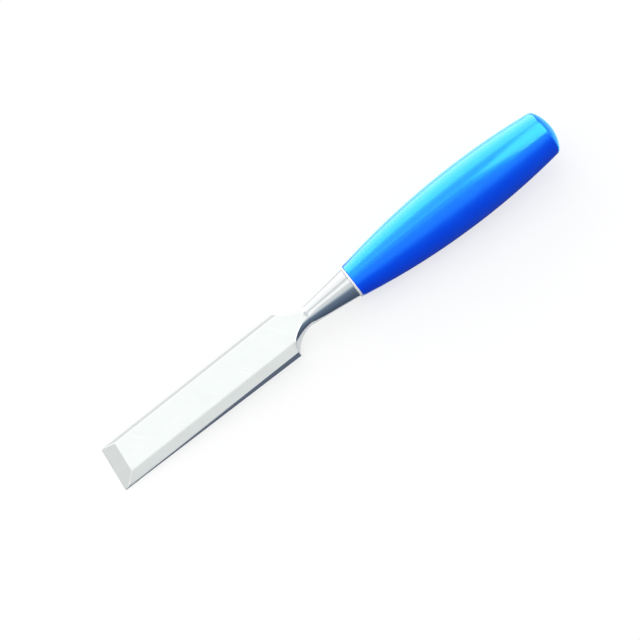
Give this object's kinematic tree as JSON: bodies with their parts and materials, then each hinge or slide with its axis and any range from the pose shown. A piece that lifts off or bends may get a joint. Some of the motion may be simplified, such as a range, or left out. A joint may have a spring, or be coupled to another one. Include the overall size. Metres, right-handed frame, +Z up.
{
  "type": "bench chisel",
  "caption": "Bevel-edge bench chisel: flat steel blade with a ground cutting bevel, narrow neck, conical bolster, thin washer and barrel-shaped handle with a domed butt.",
  "frame": {"origin": "centre of the bounding box in plan, on the bench that the tool lies on: the cutting edge and the handle's belly touch Z = 0", "axes": "+X along the tool from the cutting edge to the butt, +Z up with the bevelled face upwards, +Y across the blade"},
  "size_m": [0.244, 0.0274, 0.0289],
  "materials": {
    "blade_steel": "satin ground flats and bevels, polished bolster",
    "washer_plastic": "smooth white",
    "handle_plastic": "high gloss, smooth moulded"
  },
  "bodies": {
    "root": {"blade": "blade_steel", "bolster_washer": "washer_plastic", "handle": "handle_plastic"}
  },
  "joints": []
}
